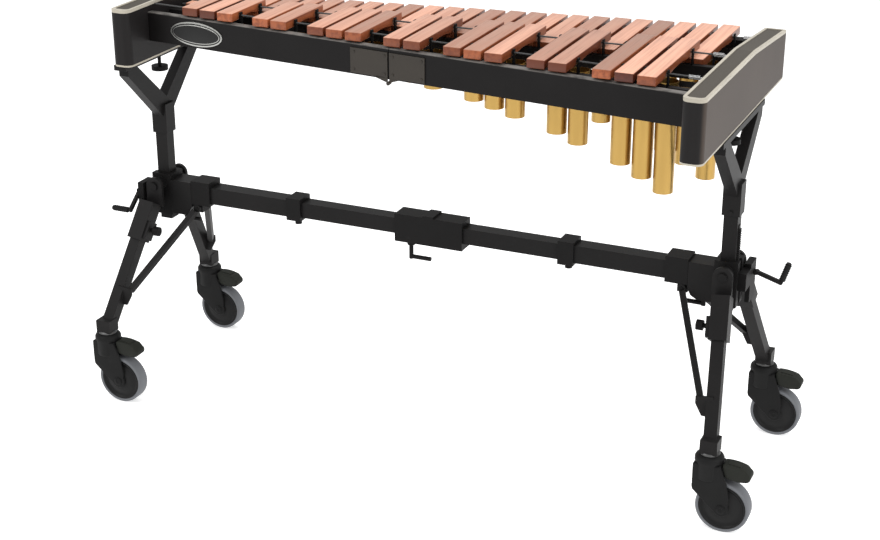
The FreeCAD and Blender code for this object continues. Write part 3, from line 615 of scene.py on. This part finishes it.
class XYLOPHONE_OT_casters(bpy.types.Operator):
    """Mould the four caster housings and their brake levers"""

    bl_idname = "xylophone.casters"
    bl_label = "Caster housings"

    def housing(self, finish, bright):
        joints = named_joints()
        axle = Vector(joints["wheel_front_right_spin"]["pos_m"]) / MM
        trail = axle.x - joints["swivel_front_right"]["pos_m"][0] / MM
        hub = (trail, axle.z)
        half = sizes().tread_width / MM / 2 + CHEEK_GAP
        head = turned_piece(to_metres([(0, 115), (26.5, 115), (28.5, 118), (28.5, 150), (30, 153), (30, 160),
                                       (27.5, 164.5), (22, 167), (0, 167)]), (0, 0, 0), Z, 64, 40)
        stem = turned_piece(to_metres([(0, 166), (19, 166), (21, 168), (21, 171), (19, 173), (11, 173),
                                       (9, 176), (9, 184), (6, 186), (6, 192.5), (0, 192.5)]),
                            (0, 0, 0), Z, 48, 40)
        cheek = (arc(hub, 16.5, 215, 395, 15)
                 + [(trail + 15.5, axle.z + 22), (trail + 8, axle.z + 58), (29, 150)]
                 + [(-28.5, 150), (-28.5, 112)] + arc((-4.5, 100), 24, 170, 205, 5))
        hood = [(-28, 104), (-28, 150), (28.5, 150), (28.5, 116)] + arc(hub, 59.0, 97, 127, 8)
        parts = [head, stem]
        for side in (-1, 1):
            parts.append(plate_shape(to_metres(cheek), 6.0 * MM, side * half * MM, 2.2 * MM))
            cap = to_metres([(0, 0), (9.5, 0), (9.5, 2.2), (8, 3.4), (4.5, 3.6), (3.6, 2.6), (0, 2.6)])
            spot = (trail * MM, side * (half + 2.4) * MM, axle.z * MM)
            parts.append(turned_piece(cap, spot, Y * side, 32, 40))
        parts.append(plate_shape(to_metres(hood), (2 * half - 3) * MM, 0, 4 * MM))
        axle_rod = turned_piece(to_metres([(0, -half), (4.9, -half), (4.9, half), (0, half)]),
                                (trail * MM, 0, axle.z * MM), Y, 24, 40)
        for part in parts:
            wear(part, finish)
        wear(stem, bright)
        wear(axle_rod, bright)
        return joined(parts + [axle_rod], "caster_housing")

    def lever(self, finish):
        crown = arc((44, 58), 97, 98, 70, 8)
        toe = arc((78.5, 133), 10.5, 60, -80, 9)
        root = [(36.5, 126), (31, 145), (31, 150)]
        sole = [(64, 120.5), (52, 122), (42, 124)]
        body = plate_shape(to_metres(root + crown + toe + sole), 34 * MM, 0, 6.5 * MM)
        raised = [(42, 153)] + arc((44, 58), 99.2, 92, 76, 6) + [(67, 147), (44, 149)]
        rib = plate_shape(to_metres(raised), 21 * MM, 0, 1.2 * MM)
        for part in (body, rib):
            wear(part, finish)
        return joined([body, rib], "brake_lever")

    def execute(self, context):
        plastic = painted("caster_black", (0.010, 0.010, 0.010), 0.5, grain=1500.0, edge=0.0)
        pedal = painted("lever_plastic", (0.018, 0.019, 0.016), 0.6, grain=1200.0, edge=0.0)
        bolt = plated("caster_bolt", (0.10, 0.10, 0.10), 0.4)
        housing = self.housing(plastic, bolt)
        lever = self.lever(pedal)
        joints = named_joints()
        for pattern, node, body, slot in ((housing, "caster_fork_", "caster_", "black_plastic"),
                                          (lever, "brake_pedal_", "pedal_", "pedal_plastic")):
            for end in ("front", "rear"):
                for side in ("left", "right"):
                    spot = end + "_" + side
                    piece = bpy.data.objects.new(pattern.name + "_" + spot, pattern.data.copy())
                    context.collection.objects.link(piece)
                    swivel = Vector(joints["swivel_" + spot]["pos_m"])
                    piece.location = (swivel.x, swivel.y, 0)
                    settle(piece)
                    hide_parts(node + spot)
                    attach(piece, body + spot)
            bpy.data.objects.remove(pattern)
        return {"FINISHED"}


BADGE_X = -511               # place along the front rail, in millimetres from the middle of the stand
BADGE_Z = 871
RAIL_LENGTH = 700 * MM       # a little more than one of the two rail lengths


class XYLOPHONE_OT_badge(bpy.types.Operator):
    """Fix the blank oval badge to the front rail"""

    bl_idname = "xylophone.badge"
    bl_label = "Badge"

    def execute(self, context):
        pale = plated("badge_silver", (0.40, 0.40, 0.38), 0.35)
        black = painted("badge_black", (0.02, 0.02, 0.02), 0.35)
        wide, high = sizes().badge_size
        spot = from_stand(BADGE_X, 0, BADGE_Z)
        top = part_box("front_rails")[1].z - MM
        rail = [v.co for v in frame["nodes"]["front_rails"].data.vertices if v.co.z > top]
        left = min(rail, key=lambda p: (p.x, p.y))
        right = max((p for p in rail if p.x < left.x + RAIL_LENGTH), key=lambda p: (p.x, -p.y))
        share = (spot.x - left.x) / (right.x - left.x)
        spot.y = left.y + (right.y - left.y) * share
        turn = math.atan2(right.y - left.y, right.x - left.x)
        parts = []
        layers = ((0.0, 2.2, pale), (3.2, 2.5, black), (6.4, 2.9, pale), (8.0, 3.1, black))
        for inset, height, finish in layers:
            deselect()
            bpy.ops.mesh.primitive_cylinder_add(vertices=96, radius=1, depth=1)
            plate = bpy.context.active_object
            plate.scale = (wide - inset * MM, high - inset * MM, height * MM)
            plate.location = (0, 0, height * MM / 2)
            settle(plate)
            soften(plate, 0.5 * MM, 2)
            wear(plate, finish)
            parts.append(plate)
        badge = joined(parts, "oval_badge")
        badge.matrix_world = (Matrix.Translation(spot) @ Matrix.Rotation(turn, 4, "Z")
                              @ Matrix.Rotation(math.pi / 2, 4, "X"))
        settle(badge)
        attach(badge, "keyboard")
        return {"FINISHED"}


GRIP_LONG = 40 * MM
GRIP_RIBS = 7


class XYLOPHONE_OT_grips(bpy.types.Operator):
    """Turn the ribbed grips of the two cranks"""

    bl_idname = "xylophone.grips"
    bl_label = "Crank grips"

    def execute(self, context):
        rubber = painted("grip_rubber", (0.012, 0.012, 0.012), 0.6, grain=1500.0, edge=0.0)
        joints = named_joints()
        for side in ("left", "right"):
            joint = joints["grip_%s_spin" % side]
            axis = Vector(joint["axis"])
            start = Vector(joint["pos_m"]) + axis * 5.5 * MM
            rim = [(6.2 * MM, 0.0)]
            for n in range(GRIP_RIBS):
                z = GRIP_LONG * (n + 0.15) / GRIP_RIBS
                rim += [(5.9 * MM, z), (7.0 * MM, z + 1.2 * MM), (7.0 * MM, z + 3.4 * MM),
                        (5.9 * MM, z + 4.6 * MM)]
            rim += [(6.0 * MM, GRIP_LONG)]
            points = [(3.1 * MM, 0.0)] + rim + [(3.1 * MM, GRIP_LONG)]
            grip = turned_piece(points, start, axis, 40, 50)
            grip.name = "ribbed_grip_" + side
            wear(grip, rubber)
            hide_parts("crank_grip_" + side)
            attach(grip, "crank_grip_" + side)
        return {"FINISHED"}


SPRING_REACH = 12 * MM       # more than a spring's width, less than the way to the next cord
SPRING_RADIUS = 4.4 * MM
SPRING_COIL = 24 * MM
SPRING_TURNS = 9


class XYLOPHONE_OT_springs(bpy.types.Operator):
    """Wind the four springs that keep the cords tight"""

    bl_idname = "xylophone.springs"
    bl_label = "Cord springs"

    def execute(self, context):
        wire = sizes().spring_wire
        steel = plated("spring_steel", (0.55, 0.55, 0.55), 0.3)
        vertices = [v.co for v in frame["nodes"]["cord_springs"].data.vertices]
        wound = []
        for p in vertices:
            near = [v for v in vertices if abs(v.y - p.y) < SPRING_REACH and abs(v.z - p.z) < SPRING_REACH]
            low = Vector([min(v[i] for v in near) for i in range(3)])
            high = Vector([max(v[i] for v in near) for i in range(3)])
            if not any((low - q).length < SPRING_REACH for q in wound):
                wound.append(low)
                self.wind(low, high, wire, steel)
        if not wound:
            raise RuntimeError("the frame has no cord springs")
        return {"FINISHED"}

    def wind(self, low, high, wire, steel):
        radius = SPRING_RADIUS - wire
        turns = [math.tau * n / 8 for n in range(8)]
        ring = [(radius + wire * math.cos(t), wire * math.sin(t)) for t in turns]
        spring = outline(ring)
        modify(spring, "SCREW", axis="Z", angle=math.tau, iterations=SPRING_TURNS, steps=14, render_steps=14,
               screw_offset=(SPRING_COIL - 2 * wire) / SPRING_TURNS)
        spot = Vector((low.x, (low.y + high.y) / 2, (low.z + high.z) / 2))
        spring.matrix_world = Matrix.Translation(spot) @ X.to_track_quat("Z", "Y").to_matrix().to_4x4()
        settle(spring)
        deselect()
        bpy.ops.mesh.primitive_cylinder_add(vertices=12, radius=wire * 1.3, depth=high.x - low.x,
                                            location=((low.x + high.x) / 2, spot.y, spot.z),
                                            rotation=(0, math.pi / 2, 0))
        pin = settle(bpy.context.active_object)
        piece = joined([spring, pin], "cord_spring_%d" % round(low.y * 1000 + 500))
        only(piece)
        bpy.ops.object.shade_smooth_by_angle(angle=math.radians(50))
        wear(piece, steel)
        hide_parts("cord_springs")
        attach(piece, "keyboard")


class XYLOPHONE_OT_stage(bpy.types.Operator):
    """Lay the floor and set the lights and the camera"""

    bl_idname = "xylophone.stage"
    bl_label = "Stage"

    def execute(self, context):
        scene = bpy.context.scene
        scene.view_settings.view_transform = "Standard"
        deselect()
        bpy.ops.mesh.primitive_plane_add(size=80, location=(0, 0, 0))
        floor = bpy.context.active_object
        floor.name = "studio_floor"
        f = Finish("studio_white")
        f.shader.inputs["Emission Strength"].default_value = 0.45
        wear(floor, f.use(Base_Color=f.mix(f.noise(0.5), (0.86, 0.86, 0.86), (0.9, 0.9, 0.9)),
                          Roughness=0.8, Emission_Color=(1, 1, 1, 1)))
        world = bpy.data.worlds.new("studio")
        world.use_nodes = True
        world.node_tree.nodes["Background"].inputs[0].default_value = (1, 1, 1, 1)
        world.node_tree.nodes["Background"].inputs[1].default_value = 0.75
        scene.world = world
        for name, spot, aim, size, power in (
                ("key_light", (-2.4, -2.6, 3.2), (0, 0, 0.8), 2.2, 70),
                ("fill_light", (3.4, -1.2, 2.2), (0.3, 0, 0.7), 2.4, 60),
                ("top_light", (0.2, 1.0, 3.6), (0, 0, 0.9), 2.6, 60)):
            data = bpy.data.lights.new(name, "AREA")
            data.size = size
            data.energy = power
            light = bpy.data.objects.new(name, data)
            light.location = spot
            light.rotation_euler = (Vector(aim) - Vector(spot)).to_track_quat("-Z", "Y").to_euler()
            scene.collection.objects.link(light)
        data = bpy.data.cameras.new("camera")
        data.sensor_width = 36
        data.lens = 68.24
        camera = bpy.data.objects.new("camera", data)
        camera.location = from_stand(1421.86, -3158.03, 1797.71)
        camera.rotation_euler = (math.radians(90 - 22.57), math.radians(0.0), math.radians(23.84))
        scene.collection.objects.link(camera)
        scene.camera = camera
        return {"FINISHED"}


STEPS = (XYLOPHONE_OT_finishes, XYLOPHONE_OT_bars, XYLOPHONE_OT_wheels, XYLOPHONE_OT_casters,
         XYLOPHONE_OT_badge, XYLOPHONE_OT_grips, XYLOPHONE_OT_springs, XYLOPHONE_OT_stage)


class XYLOPHONE_PT_panel(bpy.types.Panel):
    """Builds the xylophone piece by piece"""

    bl_idname = "XYLOPHONE_PT_panel"
    bl_label = "Xylophone"
    bl_space_type = "VIEW_3D"
    bl_region_type = "UI"
    bl_category = "Xylophone"

    def draw(self, context):
        for group in (context.scene.xylophone_sizes, context.scene.xylophone_colours):
            for name in group.__annotations__:
                self.layout.prop(group, name)
        for step in STEPS:
            self.layout.operator(step.bl_idname)


CLASSES = (XylophoneSizes, XylophoneColours, *STEPS, XYLOPHONE_PT_panel)


def register():
    for cls in CLASSES:
        bpy.utils.register_class(cls)
    bpy.types.Scene.xylophone_sizes = bpy.props.PointerProperty(type=XylophoneSizes)
    bpy.types.Scene.xylophone_colours = bpy.props.PointerProperty(type=XylophoneColours)


def unregister():
    del bpy.types.Scene.xylophone_colours
    del bpy.types.Scene.xylophone_sizes
    for cls in reversed(CLASSES):
        bpy.utils.unregister_class(cls)


def main():
    register()
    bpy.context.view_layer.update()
    for step in STEPS:
        family, name = step.bl_idname.split(".")
        getattr(getattr(bpy.ops, family), name)()


if __name__ == "__main__":
    main()
